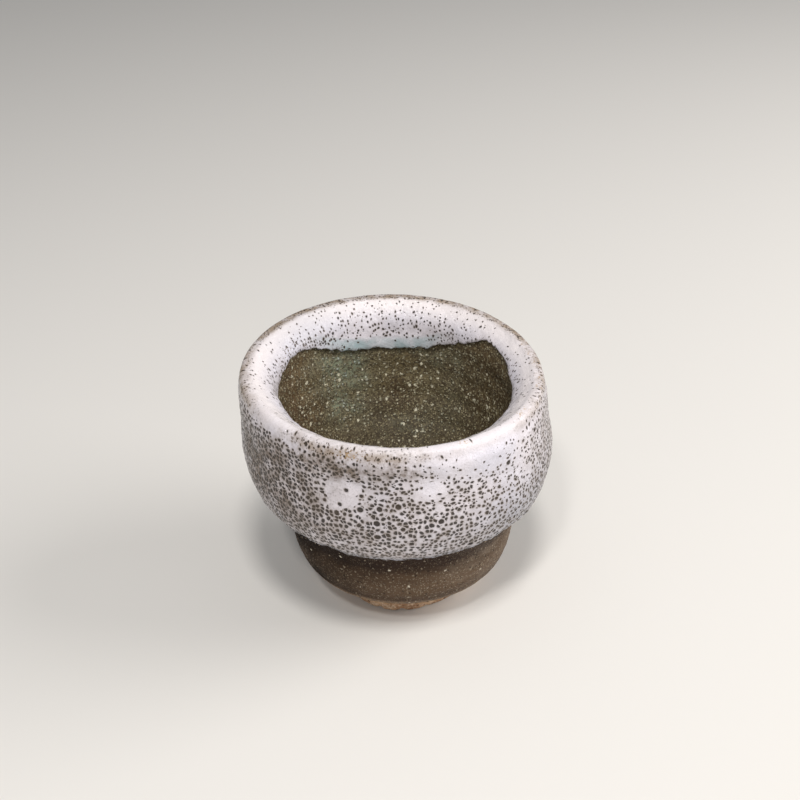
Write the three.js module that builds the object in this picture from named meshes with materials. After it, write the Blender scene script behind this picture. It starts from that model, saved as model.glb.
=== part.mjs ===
import * as THREE from "three";

// A small thrown cup of dark glazed stoneware, dipped rim down into a thick white glaze.
// Millimetres, +Z up. The cup stands on Z = 0, and the origin is under the middle of its belly.
// +X is to the right of someone who faces the cup's front, and +Y is away from them.

// Turned foot ring, bare clay, set in under the hip
const footRadius = 13.2;
const footFlare = 0.9;
const footHeight = 6.2;
const footFillet = 1.2;
const footBevel = 0.4;
const footRingWidth = 3.8;
const footRecess = 5.0;
const footBoss = 0.6;
const recessFillet = 0.9;

// Outside of the clay wall, from the foot up to the crest of the rim
const heelRadius = 19.3;
const heelHeight = 7.6;
const heelRound = 1.3;
const hipRadius = 21.0;
const hipHeight = 13.0;
const grooveRadius = 20.8;
const grooveHeight = 17.2;
const flareRadius = 23.4;
const flareHeight = 22.8;
const bellyRadius = 27.25;
const bellyHeight = 31.1;
const waistRadius = 26.75;
const waistHeight = 38.5;
const rimRadius = 26.9;
const rimHeight = 45.8;
const rimRound = 1.5;

// Inside of the clay wall, as the wall's width at each height, and the floor
const rimWidth = 3.9;
const rimBevel = 3.1;
const throatWall = 4.1;
const throatHeight = 40.5;
const bellyWall = 5.0;
const flareWall = 7.1;
const wellRadius = 9.6;
const floorHeight = 12.4;

// Fired coats over the clay, the clearance that each keeps to what it lies on, and the lengths of skin
// over which the white coat thins behind its beads and thickens past the rim
const seat = 0.12;
const slipThickness = 0.25;
const liningThickness = 0.3;
const whiteOnBelly = 1.0;
const whiteOnRim = 0.45;
const whiteInside = 0.7;
const outerBeadRadius = 0.55;
const innerBeadRadius = 0.4;
const outerBeadRun = 4;
const innerBeadRun = 3;
const rimRun = 6;

// Lower edge of the white coat on the outside: a mean height, and lobes round the cup that make it uneven
const outerEdgeHeight = 24.3;
const outerEdgeLobes = [
  { count: 1, swing: 0.6, peak: 45 },
  { count: 2, swing: 0.7, peak: -8 },
  { count: 3, swing: 0.45, peak: -30 },
];

// Edge of the white coat on the inside, which hangs deepest at the back
const innerEdgeHeight = 41.3;
const innerEdgeLobes = [{ count: 1, swing: 1.0, peak: 20 }];
const innerDrape = 4.0;
const innerDrapeAngle = 90;
const innerDrapeSpread = 30;

// What the hand leaves: the rim leans to the left and back of the foot, is pulled further left than
// the belly, dips to the right and front and is a little out of round
const rimLeanLeft = 0.95;
const rimLeanBack = 1.0;
const rimPullLeft = 0.25;
const rimDipRight = 1.1;
const rimDipFront = 0.4;
const outOfRound = 0.2;
const outOfRoundPeak = 198;

// Fineness of the faces
const columns = 48;
const rowStep = 3.6;
const rowTurn = THREE.MathUtils.degToRad(19);
const beadRows = 4;
const edgeRows = 2;
const edgeGap = 0.3;

const full = 2 * Math.PI;
const smooth = THREE.MathUtils.smoothstep;

// The wall's skin is one curve in the plane of radius and height: up the outside, over the rim,
// down to the floor
function wallPoints() {
  const footTop = footRadius + footFlare;
  const flareRise = flareHeight - grooveHeight;
  const bellyRise = bellyHeight - flareHeight;
  const rimInner = rimRadius - rimWidth;
  const hollowRadius = bellyRadius - flareWall;
  const hollowRise = bellyHeight - floorHeight;
  return [
    [footTop + footFillet, footHeight],
    [heelRadius - heelRound, heelHeight - 0.7 * heelRound],
    [heelRadius, heelHeight],
    [0.4 * heelRadius + 0.6 * hipRadius, 0.6 * heelHeight + 0.4 * hipHeight],
    [hipRadius, hipHeight],
    [grooveRadius, grooveHeight],
    [grooveRadius + 0.25 * (flareRadius - grooveRadius), grooveHeight + 0.55 * flareRise],
    [flareRadius, flareHeight],
    [flareRadius + 0.68 * (bellyRadius - flareRadius), flareHeight + 0.4 * bellyRise],
    [bellyRadius, bellyHeight],
    [waistRadius, waistHeight],
    [rimRadius, rimHeight - rimRound],
    [rimRadius - 0.04 * rimWidth, rimHeight - 0.33 * rimRound],
    [rimRadius - 0.14 * rimWidth, rimHeight],
    [rimRadius - 0.4 * rimWidth, rimHeight - 0.17 * rimBevel],
    [rimRadius - 0.75 * rimWidth, rimHeight - 0.54 * rimBevel],
    [rimInner, rimHeight - rimBevel],
    [waistRadius - throatWall, throatHeight],
    [bellyRadius - bellyWall, bellyHeight],
    [hollowRadius, floorHeight + 0.6 * hollowRise],
    [0.5 * (wellRadius + hollowRadius), floorHeight + 0.27 * hollowRise],
    [wellRadius, floorHeight + 0.1 * hollowRise],
    [0.45 * wellRadius, floorHeight + 0.01 * hollowRise],
    [0, floorHeight],
  ];
}

const wall = new THREE.CatmullRomCurve3(
  wallPoints().map(([r, z]) => new THREE.Vector3(r, 0, z)),
  false,
  "centripetal",
);
wall.arcLengthDivisions = 1200;
const wallLength = wall.getLength();
const crestLength = highestLength();

function highestLength() {
  const step = 0.05;
  let best = 0;
  for (let s = 0; s < wallLength; s += step) {
    if (wall.getPointAt(s / wallLength).z > wall.getPointAt(best / wallLength).z) best = s;
  }
  return best;
}

// A place on the skin at s millimetres along it, raised off it by lift, as [radius, height]
function onWall(s, lift) {
  const u = THREE.MathUtils.clamp(s / wallLength, 0, 1);
  const p = wall.getPointAt(u);
  const t = wall.getTangentAt(u);
  return u === 1 ? [0, p.z + lift] : [Math.max(0, p.x + lift * t.z), p.z - lift * t.x];
}

// How far along the skin the wall reaches a height, between two lengths where it only climbs
// or only falls
function lengthAtHeight(height, from, to) {
  const climbs = wall.getPointAt(to / wallLength).z > wall.getPointAt(from / wallLength).z;
  const halvings = 30;
  for (let i = 0; i < halvings; i++) {
    const middle = (from + to) / 2;
    if (wall.getPointAt(middle / wallLength).z < height === climbs) from = middle;
    else to = middle;
  }
  return (from + to) / 2;
}

const outsideLength = (height) => lengthAtHeight(height, 0, crestLength);
const insideLength = (height) => lengthAtHeight(height, crestLength, wallLength);

// Rows where the wall has turned or run on far enough to need one. Every layer shares them, which
// keeps the layers parallel.
function sharedRows() {
  const rows = [0];
  const step = 0.1;
  let heading = wall.getTangentAt(0);
  for (let s = step; s < wallLength - rowStep / 2; s += step) {
    const here = wall.getTangentAt(s / wallLength);
    const turned = here.angleTo(heading) > rowTurn;
    if (turned || s - rows.at(-1) > rowStep) {
      rows.push(s);
      heading = here;
    }
  }
  return [...rows, wallLength];
}

const rowLengths = sharedRows();

function rowsBetween(from, to) {
  return rowLengths.filter((s) => s > from + edgeGap && s < to - edgeGap);
}

// Lengths spread evenly from one edge to another, without the first
const spread = (from, to, count) =>
  Array.from({ length: count }, (_, i) => from + ((i + 1) * (to - from)) / count);

// Moves a turned point to where the leaning, dipping, slightly oval cup has it
function byHand(r, angle, z) {
  const rise = z / rimHeight;
  const lobe = Math.cos(3 * (angle - THREE.MathUtils.degToRad(outOfRoundPeak)));
  const radius = r > 0 ? r + outOfRound * rise * lobe : 0;
  const lean = rise - bellyHeight / rimHeight;
  const pull = rimPullLeft * smooth(z, bellyHeight, rimHeight);
  const x = radius * Math.cos(angle) - rimLeanLeft * lean - pull;
  const y = radius * Math.sin(angle) + rimLeanBack * lean;
  return [x, y, z + (rise * (rimDipFront * y - rimDipRight * x)) / rimRadius];
}

// Skins a piece from its section at each angle. Both ends of an open section lie on the axis, and a
// ring's section closes on itself.
function sweepRound(sectionAt, closed) {
  const sections = Array.from({ length: columns }, (_, i) => sectionAt((i * full) / columns));
  const rows = sections[0].length;
  const positions = [];
  const faces = [];
  const vertex = (i, j) => (i % columns) * rows + (j % rows);
  sections.forEach((section, i) => {
    for (const [r, z] of section) positions.push(...byHand(r, (i * full) / columns, z));
  });
  for (let i = 0; i < columns; i++) {
    for (let j = 0; j < (closed ? rows : rows - 1); j++) {
      const a = vertex(i, j);
      const b = vertex(i + 1, j);
      const c = vertex(i + 1, j + 1);
      const d = vertex(i, j + 1);
      if (closed || j > 0) faces.push(a, b, c);
      if (closed || j < rows - 2) faces.push(a, c, d);
    }
  }
  const geometry = new THREE.BufferGeometry();
  geometry.setAttribute("position", new THREE.Float32BufferAttribute(positions, 3));
  geometry.setIndex(faces);
  geometry.computeVertexNormals();
  return geometry;
}

function piece(name, geometry, color, roughness) {
  const material = new THREE.MeshStandardMaterial({ color, roughness, metalness: 0 });
  const mesh = new THREE.Mesh(geometry, material);
  mesh.name = name;
  return mesh;
}

// Clay: a recess with a low boss turned inside the foot ring, the ring's flaring wall, then the
// cup's wall and floor
function clayBody() {
  const ringInner = footRadius - footRingWidth;
  const underside = [
    [0, footRecess - footBoss],
    [0.3 * ringInner, footRecess - 0.75 * footBoss],
    [0.6 * ringInner, footRecess],
    [ringInner - 1.5 * recessFillet, footRecess],
    [ringInner - 0.5 * recessFillet, footRecess - 0.6 * recessFillet],
    [ringInner, 0],
    [footRadius - footBevel, 0],
    [footRadius, footBevel],
    [footRadius + footFlare, footHeight - 0.5 * footFillet],
  ];
  const section = [...underside, ...rowLengths.map((s) => onWall(s, 0))];
  return piece("clay_body", sweepRound(() => section, false), "#a98763", 0.95);
}

// Iron slip over the outside, from the bare foot to the crest of the rim
function ironSlip() {
  const end = crestLength - seat;
  const rows = [seat, ...rowsBetween(seat, end), end];
  const outside = rows.map((s) => onWall(s, seat + slipThickness));
  const underside = rows.map((s) => onWall(s, seat)).reverse();
  return piece("iron_slip", sweepRound(() => [...outside, ...underside], true), "#3a2f29", 0.6);
}

// Dark glaze that lines the cup, from the crest of the rim over the whole floor
function innerLining() {
  const start = crestLength + seat;
  const rows = [start, ...rowsBetween(start, wallLength), wallLength];
  const inside = rows.map((s) => onWall(s, seat + liningThickness));
  const underside = rows.map((s) => onWall(s, seat)).reverse();
  return piece("inner_lining", sweepRound(() => [...underside, ...inside], false), "#3c3428", 0.75);
}

function lobes(list, angle) {
  const turned = (peak) => angle - THREE.MathUtils.degToRad(peak);
  return list.reduce((sum, { count, swing, peak }) => sum + swing * Math.cos(count * turned(peak)), 0);
}

const reach = (list) => list.reduce((sum, { swing }) => sum + swing, 0);

function outerEdge(angle) {
  return outsideLength(outerEdgeHeight + lobes(outerEdgeLobes, angle));
}

function innerEdge(angle) {
  const past = THREE.MathUtils.radToDeg(angle) - innerDrapeAngle;
  const turn = THREE.MathUtils.euclideanModulo(past + 180, 360) - 180;
  const drape = innerDrape * Math.exp(-((turn / innerDrapeSpread) ** 2));
  return insideLength(innerEdgeHeight + lobes(innerEdgeLobes, angle) - drape);
}

const whiteSeat = 2 * seat + Math.max(slipThickness, liningThickness);

// The white coat is fullest in the rolled bead along each edge and thinnest where it ran off the rim
function whiteThickness(s, outer, inner) {
  const towardsRim = smooth(s, outsideLength(waistHeight), crestLength);
  const pastRim = smooth(s, crestLength, crestLength + rimRun);
  const body = THREE.MathUtils.lerp(whiteOnBelly, whiteOnRim, towardsRim);
  const open = THREE.MathUtils.lerp(body, whiteInside, pastRim);
  const atOuter = THREE.MathUtils.lerp(2 * outerBeadRadius, open, smooth(s, outer, outer + outerBeadRun));
  return THREE.MathUtils.lerp(2 * innerBeadRadius, atOuter, smooth(-s, -inner, -inner + innerBeadRun));
}

// Half-round edge of a coat: the bead's centre is at s, and the coat runs on from it in the given
// direction
function bead(s, radius, direction) {
  return Array.from({ length: beadRows + 1 }, (_, i) => {
    const turn = (Math.PI * i) / beadRows;
    const lift = whiteSeat + radius * (1 - direction * Math.cos(turn));
    return onWall(s - direction * radius * Math.sin(turn), lift);
  });
}

function whiteGlaze() {
  const highestOuter = outsideLength(outerEdgeHeight + reach(outerEdgeLobes)) + 2 * outerBeadRadius;
  const highestInner = insideLength(innerEdgeHeight + reach(innerEdgeLobes)) - 2 * innerBeadRadius;
  const shared = rowsBetween(highestOuter, highestInner);
  const sectionAt = (angle) => {
    const outer = outerEdge(angle) + outerBeadRadius;
    const inner = innerEdge(angle) - innerBeadRadius;
    const rows = [
      ...spread(outer, shared[0], edgeRows),
      ...shared.slice(1),
      ...spread(shared.at(-1), inner, edgeRows + 2).slice(0, -1),
    ];
    const top = rows.map((s) => onWall(s, whiteSeat + whiteThickness(s, outer, inner)));
    const underside = rows.map((s) => onWall(s, whiteSeat)).reverse();
    const outerBead = bead(outer, outerBeadRadius, 1);
    const innerBead = bead(inner, innerBeadRadius, -1);
    return [...outerBead, ...top, ...innerBead, ...underside];
  };
  return piece("white_glaze", sweepRound(sectionAt, true), "#e6dfe1", 0.35);
}

const cup = new THREE.Group();
cup.add(clayBody(), ironSlip(), innerLining(), whiteGlaze());

export default cup;
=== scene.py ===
import math
import random

import bpy
import numpy as np
from mathutils import Matrix, Vector, kdtree, noise


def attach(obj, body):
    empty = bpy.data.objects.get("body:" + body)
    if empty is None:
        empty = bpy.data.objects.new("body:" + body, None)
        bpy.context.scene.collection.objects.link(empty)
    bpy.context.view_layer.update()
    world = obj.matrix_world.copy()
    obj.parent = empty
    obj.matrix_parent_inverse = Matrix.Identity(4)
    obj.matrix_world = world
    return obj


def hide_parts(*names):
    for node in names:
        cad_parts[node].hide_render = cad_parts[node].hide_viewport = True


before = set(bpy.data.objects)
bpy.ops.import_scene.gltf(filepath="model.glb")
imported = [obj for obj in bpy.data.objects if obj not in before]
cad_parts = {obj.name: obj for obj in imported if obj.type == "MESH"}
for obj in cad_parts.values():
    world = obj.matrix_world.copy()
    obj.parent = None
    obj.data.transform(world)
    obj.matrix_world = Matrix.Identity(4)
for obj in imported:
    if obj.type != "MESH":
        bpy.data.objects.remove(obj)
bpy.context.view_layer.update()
mm = 0.001  # sizes below are in millimetres, as the potter would measure them
fullTurn = 2 * math.pi
smoothLevels = 2
print("frame loaded:", ", ".join(sorted(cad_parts)))


# The wall that every coat follows, in the sizes that the solids were turned to
wall = {
    "footRadius": 13.2,
    "footFlare": 0.9,
    "footHeight": 6.2,
    "footFillet": 1.2,
    "heelRadius": 19.3,
    "heelHeight": 7.6,
    "heelRound": 1.3,
    "hipRadius": 21.0,
    "hipHeight": 13.0,
    "grooveRadius": 20.8,
    "grooveHeight": 17.2,
    "flareRadius": 23.4,
    "flareHeight": 22.8,
    "bellyRadius": 27.25,
    "bellyHeight": 31.1,
    "waistRadius": 26.75,
    "waistHeight": 38.5,
    "rimRadius": 26.9,
    "rimHeight": 45.8,
    "rimRound": 1.5,
    "rimWidth": 3.9,
    "rimBevel": 3.1,
    "throatWall": 4.1,
    "throatHeight": 40.5,
    "bellyWall": 5.0,
    "flareWall": 7.1,
    "wellRadius": 9.6,
    "floorHeight": 12.4,
    "leanLeft": 0.95,
    "leanBack": 1.0,
    "pullLeft": 0.25,
    "dipRight": 1.1,
    "dipFront": 0.4,
    "outOfRound": 0.2,
    "outOfRoundPeak": math.radians(198),
}


def wallPoints():
    # (radius, height) from under the heel up the outside, over the rim and down to the middle
    w = wall
    flareRise = w["flareHeight"] - w["grooveHeight"]
    bellyRise = w["bellyHeight"] - w["flareHeight"]
    hollowRadius = w["bellyRadius"] - w["flareWall"]
    hollowRise = w["bellyHeight"] - w["floorHeight"]
    rim, width, top, bevel = w["rimRadius"], w["rimWidth"], w["rimHeight"], w["rimBevel"]
    return [
        (w["footRadius"] + w["footFlare"] + w["footFillet"], w["footHeight"]),
        (w["heelRadius"] - w["heelRound"], w["heelHeight"] - 0.7 * w["heelRound"]),
        (w["heelRadius"], w["heelHeight"]),
        (0.4 * w["heelRadius"] + 0.6 * w["hipRadius"], 0.6 * w["heelHeight"] + 0.4 * w["hipHeight"]),
        (w["hipRadius"], w["hipHeight"]),
        (w["grooveRadius"], w["grooveHeight"]),
        (0.75 * w["grooveRadius"] + 0.25 * w["flareRadius"], w["grooveHeight"] + 0.55 * flareRise),
        (w["flareRadius"], w["flareHeight"]),
        (0.32 * w["flareRadius"] + 0.68 * w["bellyRadius"], w["flareHeight"] + 0.4 * bellyRise),
        (w["bellyRadius"], w["bellyHeight"]),
        (w["waistRadius"], w["waistHeight"]),
        (rim, top - w["rimRound"]),
        (rim - 0.04 * width, top - 0.33 * w["rimRound"]),
        (rim - 0.14 * width, top),
        (rim - 0.4 * width, top - 0.17 * bevel),
        (rim - 0.75 * width, top - 0.54 * bevel),
        (rim - width, top - bevel),
        (w["waistRadius"] - w["throatWall"], w["throatHeight"]),
        (w["bellyRadius"] - w["bellyWall"], w["bellyHeight"]),
        (hollowRadius, w["floorHeight"] + 0.6 * hollowRise),
        (0.5 * (w["wellRadius"] + hollowRadius), w["floorHeight"] + 0.27 * hollowRise),
        (w["wellRadius"], w["floorHeight"] + 0.1 * hollowRise),
        (0.45 * w["wellRadius"], w["floorHeight"] + 0.01 * hollowRise),
        (0.0, w["floorHeight"]),
    ]


def smoothChain(points, steps=120):
    # centripetal Catmull-Rom through the points, the curve that the solids were turned from
    pts = [np.array(p, float) for p in points]
    pts = [2 * pts[0] - pts[1], *pts, 2 * pts[-1] - pts[-2]]
    chain = []
    for a, b, c, d in zip(pts, pts[1:], pts[2:], pts[3:]):
        ta = 0.0
        tb = ta + np.linalg.norm(b - a) ** 0.5
        tc = tb + np.linalg.norm(c - b) ** 0.5
        td = tc + np.linalg.norm(d - c) ** 0.5
        t = np.linspace(tb, tc, steps, endpoint=False)[:, None]
        ab = ((tb - t) * a + (t - ta) * b) / (tb - ta)
        bc = ((tc - t) * b + (t - tb) * c) / (tc - tb)
        cd = ((td - t) * c + (t - tc) * d) / (td - tc)
        abc = ((tc - t) * ab + (t - ta) * bc) / (tc - ta)
        bcd = ((td - t) * bc + (t - tb) * cd) / (td - tb)
        chain.append(((tc - t) * abc + (t - tb) * bcd) / (tc - tb))
    return np.vstack([*chain, pts[-2][None]])


def makeTree(points):
    tree = kdtree.KDTree(len(points))
    for i, point in enumerate(points):
        tree.insert(point, i)
    tree.balance()
    return tree


def turnSkin(stations=2400):
    # the wall as stations along it in millimetres, with the radius, height and direction at each
    chain = smoothChain(wallPoints())
    along = np.concatenate([[0], np.cumsum(np.linalg.norm(np.diff(chain, axis=0), axis=1))])
    s = np.linspace(0, along[-1], stations)
    r = np.interp(s, along, chain[:, 0])
    z = np.interp(s, along, chain[:, 1])
    tr, tz = np.gradient(r, s), np.gradient(z, s)
    size = np.hypot(tr, tz)
    tree = makeTree(np.stack([r, z, 0 * r], 1))
    return {"s": s, "r": r, "z": z, "tr": tr / size, "tz": tz / size, "tree": tree}


skin = turnSkin()
wallEnd = float(skin["s"][-1])
crest = float(skin["s"][np.argmax(skin["z"])])


def onSkin(s, lift):
    # radius and height of a point lifted off the wall, for stations s along it
    r, z, tr, tz = (np.interp(s, skin["s"], skin[k]) for k in ("r", "z", "tr", "tz"))
    return np.maximum(r + lift * tz, 0), z - lift * tr


def rowsOn(stations, lift):
    return [tuple(float(v) for v in onSkin(s, lift)) for s in stations]


def toSkin(r, z):
    # the station and lift of each point
    near = np.array([skin["tree"].find((a, b, 0))[1] for a, b in zip(r, z)])
    dr, dz = r - skin["r"][near], z - skin["z"][near]
    tr, tz = skin["tr"][near], skin["tz"][near]
    return skin["s"][near] + (dr * tr + dz * tz), dr * tz - dz * tr


def outsideAt(height):
    part = skin["s"] <= crest
    return np.interp(height, skin["z"][part], skin["s"][part])


def insideAt(height):
    part = skin["s"] >= crest
    return np.interp(height, skin["z"][part][::-1], skin["s"][part][::-1])


def byHand(r, angle, z):
    # where the leaning, dipping, slightly oval cup has a turned point
    w = wall
    rise = z / w["rimHeight"]
    bulge = w["outOfRound"] * rise * np.cos(3 * (angle - w["outOfRoundPeak"]))
    radius = r + np.where(r > 0, bulge, 0)
    lean = rise - w["bellyHeight"] / w["rimHeight"]
    pull = w["pullLeft"] * ease((z - w["bellyHeight"]) / (w["rimHeight"] - w["bellyHeight"]))
    x = radius * np.cos(angle) - w["leanLeft"] * lean - pull
    y = radius * np.sin(angle) + w["leanBack"] * lean
    return x, y, z + rise * (w["dipFront"] * y - w["dipRight"] * x) / w["rimRadius"]


def ease(t):
    # a soft step from 0 to 1
    t = np.clip(t, 0, 1)
    return t * t * (3 - 2 * t)


def bell(value, centre, reach, power=2):
    # 1 at the centre, fading to each side; a power of 4 gives it a flatter top
    return np.exp(-(((value - centre) / reach) ** power))


def around(angle, centre, spread):
    # the same round the cup, with the centre and the spread in degrees
    return bell((np.degrees(angle) - centre + 180) % 360 - 180, 0, spread)


def atPlaces(places, angle, past):
    # soft patches on the skin: (degrees, millimetres, half width, half height, amount, power if not 2)
    return sum(
        amount * around(angle, centre, wide) * bell(past, depth, tall, *power)
        for centre, depth, wide, tall, amount, *power in places
    )


def cloud(angle, s, size, seed):
    # soft noise on the skin, without a seam; about -1 to 1
    radius = np.interp(s, skin["s"], skin["r"])
    x, y = radius * np.cos(angle) / size, radius * np.sin(angle) / size
    z = s / size + 17.3 * seed
    roughness, lacunarity, octaves = 0.8, 2.0, 2
    return np.array([noise.fractal(place, roughness, lacunarity, octaves) for place in zip(x, y, z)])


def clouds(angle, s, layers):
    # noise of several sizes together: (depth, size, seed)
    return sum(depth * cloud(angle, s, size, seed) for depth, size, seed in layers)


def throwPiece(name, rows, columns, ring):
    # rows of (radius, height) are drawn up one from another, then closed and smoothed
    bpy.ops.object.select_all(action="DESELECT")
    firstRadius, firstHeight = rows[0]
    bpy.ops.mesh.primitive_circle_add(
        vertices=columns, radius=firstRadius * mm, location=(0, 0, firstHeight * mm)
    )
    piece = bpy.context.object
    piece.name = name
    bpy.ops.object.transform_apply(location=True, rotation=True, scale=True)
    bpy.ops.object.mode_set(mode="EDIT")
    bpy.ops.mesh.select_all(action="SELECT")
    if not ring:
        bpy.ops.mesh.extrude_edges_move()
        bpy.ops.mesh.merge(type="CENTER")
        bpy.ops.mesh.select_all(action="SELECT")
        bpy.ops.mesh.region_to_loop()
    for (r0, z0), (r1, z1) in zip(rows, rows[1:]):
        bpy.ops.mesh.extrude_edges_move(TRANSFORM_OT_translate={"value": (0, 0, (z1 - z0) * mm)})
        bpy.ops.transform.resize(value=(r1 / r0, r1 / r0, 1), center_override=(0, 0, 0))
    if ring:
        bpy.ops.mesh.select_all(action="SELECT")
        bpy.ops.mesh.region_to_loop()
        bpy.ops.mesh.bridge_edge_loops()
    else:
        bpy.ops.mesh.extrude_edges_move()
        bpy.ops.mesh.merge(type="CENTER")
    bpy.ops.mesh.select_all(action="SELECT")
    bpy.ops.mesh.normals_make_consistent(inside=False)
    bpy.ops.object.mode_set(mode="OBJECT")
    smoother = piece.modifiers.new("smoother", "SUBSURF")
    smoother.levels = smoother.render_levels = smoothLevels
    bpy.ops.object.modifier_apply(modifier=smoother.name)
    bpy.ops.object.shade_smooth()
    return piece


def readPiece(piece):
    # every point's angle, radius, height, station and lift, all taken from the turned shape
    co = np.empty(len(piece.data.vertices) * 3)
    piece.data.vertices.foreach_get("co", co)
    x, y, z = co.reshape(-1, 3).T / mm
    r = np.hypot(x, y)
    s, lift = toSkin(r, z)
    return np.arctan2(y, x), r, z, s, lift


def placePiece(piece, r, angle, z):
    x, y, z = byHand(r, angle, z)
    piece.data.vertices.foreach_set("co", (np.stack([x, y, z], 1) * mm).ravel())
    piece.data.update()


def paint(piece, name, values):
    layer = piece.data.attributes.new(name, "FLOAT", "POINT")
    layer.data.foreach_set("value", np.clip(values, 0, 1).astype(np.float32))


def finishPiece(piece, node, material):
    piece.data.materials.append(material)
    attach(piece, "root")
    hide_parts(node)
    print(piece.name, "done:", sum(len(p.vertices) - 2 for p in piece.data.polygons), "triangles")


def srgb(r, g, b):
    # a colour as a painter's eyedropper reads it, 0 to 255
    def linear(c):
        c = c / 255
        return c / 12.92 if c <= 0.04045 else ((c + 0.055) / 1.055) ** 2.4

    return (linear(r), linear(g), linear(b), 1.0)


def feed(tree, value, socket):
    # a link where the value comes from another node, and else a plain number or colour
    if isinstance(value, bpy.types.NodeSocket):
        tree.links.new(value, socket)
    else:
        socket.default_value = value


def addNode(tree, kind, values=None, settings=None):
    # nodes stand in columns of eight, in the order in which they are made
    made = tree.nodes.new(kind)
    column, row = divmod(len(tree.nodes), 8)
    made.location = (column * 200 - 2400, 800 - row * 220)
    for name, value in (settings or {}).items():
        setattr(made, name, value)
    for name, value in (values or {}).items():
        feed(tree, value, made.inputs[name])
    return made


def combine(tree, kind, *values):
    made = addNode(tree, "ShaderNodeMath", None, {"operation": kind})
    for value, socket in zip(values, made.inputs):
        feed(tree, value, socket)
    return made.outputs[0]


def times(tree, first, second):
    return combine(tree, "MULTIPLY", first, second)


def rangeOf(tree, value, low, high, toLow=0.0, toHigh=1.0):
    ends = {"Value": value, "From Min": low, "From Max": high, "To Min": toLow, "To Max": toHigh}
    made = addNode(tree, "ShaderNodeMapRange", ends, {"interpolation_type": "SMOOTHSTEP"})
    return made.outputs["Result"]


def mixColour(tree, factor, first, second):
    made = addNode(tree, "ShaderNodeMix", None, {"data_type": "RGBA"})
    for value, socket in ((factor, 0), (first, 6), (second, 7)):
        feed(tree, value, made.inputs[socket])
    return made.outputs[2]


def layCoats(tree, base, coats):
    # each coat, an amount and a colour, goes over the ones before it
    for amount, colour in coats:
        base = mixColour(tree, amount, base, colour)
    return base


def painted(tree, name):
    return addNode(tree, "ShaderNodeAttribute", None, {"attribute_name": name}).outputs["Fac"]


def combinePlaces(tree, kind, first, second):
    made = addNode(tree, "ShaderNodeVectorMath", None, {"operation": kind})
    feed(tree, first, made.inputs[0])
    feed(tree, second, made.inputs[1])
    return made.outputs[0]


def shaken(tree, vector, scale, reach):
    # the place moved about a little by noise
    values = {"Vector": vector, "Scale": scale, "Detail": 1.0}
    shake = addNode(tree, "ShaderNodeTexNoise", values).outputs["Color"]
    centred = combinePlaces(tree, "SUBTRACT", shake, (0.5, 0.5, 0.5))
    scaled = addNode(tree, "ShaderNodeVectorMath", None, {"operation": "SCALE"})
    feed(tree, centred, scaled.inputs[0])
    feed(tree, reach, scaled.inputs["Scale"])
    return combinePlaces(tree, "ADD", vector, scaled.outputs[0])


def useGroup(tree, group, values):
    return addNode(tree, "ShaderNodeGroup", values, {"node_tree": group}).outputs


def startGroup(name, inputs, outputs):
    # an input without a value of its own is a place
    group = bpy.data.node_groups.new(name, "ShaderNodeTree")
    for label, value in inputs.items():
        kind = "NodeSocketVector" if value is None else "NodeSocketFloat"
        socket = group.interface.new_socket(label, in_out="INPUT", socket_type=kind)
        if value is not None:
            socket.default_value = value
    for label in outputs:
        group.interface.new_socket(label, in_out="OUTPUT", socket_type="NodeSocketFloat")
    return group, addNode(group, "NodeGroupInput").outputs, addNode(group, "NodeGroupOutput").inputs


def makePinholes():
    # at most one hole a cell, each of its own size, on a flat map in millimetres
    inputs = {"Map": None, "Cell": 1.0, "Radius": 0.3, "Chance": 1.0}
    group, given, out = startGroup("pinholes", inputs, ["Hole", "Halo"])
    cell = given["Cell"]
    # a slow wander of the map pulls round holes a little out of round
    moved = shaken(group, given["Map"], 0.55, 0.9)
    perCell = combine(group, "DIVIDE", 1.0, cell)
    values = {"Vector": moved, "Scale": perCell, "Randomness": 0.76}
    cells = addNode(group, "ShaderNodeTexVoronoi", values, {"voronoi_dimensions": "2D"}).outputs
    byEdge = {"voronoi_dimensions": "2D", "feature": "DISTANCE_TO_EDGE"}
    borders = addNode(group, "ShaderNodeTexVoronoi", values, byEdge).outputs
    # a thread of glaze is always left between two holes
    inside = rangeOf(group, times(group, borders["Distance"], cell), 0.03, 0.1)
    distance = times(group, cells["Distance"], cell)
    parts = addNode(group, "ShaderNodeSeparateColor", {"Color": cells["Color"]}).outputs
    # mostly near one size, with a few much larger
    rare = combine(group, "POWER", parts["Red"], 7.0)
    size = combine(group, "MULTIPLY_ADD", parts["Green"], 0.34, 0.8)
    size = combine(group, "MULTIPLY_ADD", rare, 0.38, size)
    luck = combine(group, "SUBTRACT", given["Chance"], parts["Blue"])
    radius = times(group, size, given["Radius"])
    radius = times(group, radius, rangeOf(group, luck, -0.03, 0.03))
    inner, outer, far = (
        combine(group, "MULTIPLY_ADD", radius, factor, extra)
        for factor, extra in ((0.74, -0.01), (1.2, 0.005), (2.1, 0.006))
    )
    spot = rangeOf(group, distance, inner, outer, 1.0, 0.0)
    group.links.new(times(group, spot, inside), out["Hole"])
    group.links.new(rangeOf(group, distance, inner, far, 1.0, 0.0), out["Halo"])
    return group


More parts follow.
